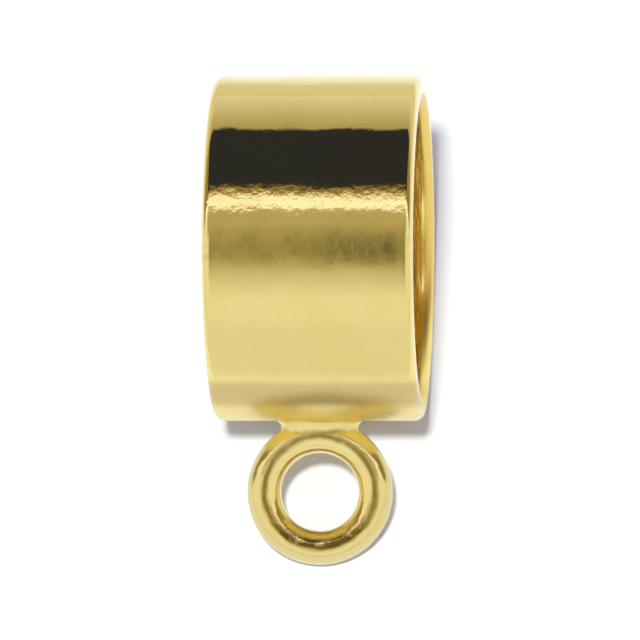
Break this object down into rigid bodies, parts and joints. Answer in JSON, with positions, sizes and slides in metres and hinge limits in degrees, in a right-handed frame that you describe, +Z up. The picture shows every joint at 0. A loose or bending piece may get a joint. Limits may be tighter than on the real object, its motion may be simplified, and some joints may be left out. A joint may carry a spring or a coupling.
{
  "type": "cord connector",
  "caption": "Short round band that a thick cord passes through, with a small closed wire loop soldered to it for hanging a pendant or a jump ring.",
  "frame": {"origin": "middle of the band's bore, on its axis at half the band's length", "axes": "+X along the bore, +Z up from the surface that the connector rests on, the loop points to -Y and a third of the way down"},
  "size_m": [0.006, 0.0129, 0.01],
  "materials": {
    "gold_plate": "polished gold plating over brass with faint hairlines round the band"
  },
  "bodies": {
    "root": {"band_with_loop": "gold_plate"}
  },
  "joints": []
}
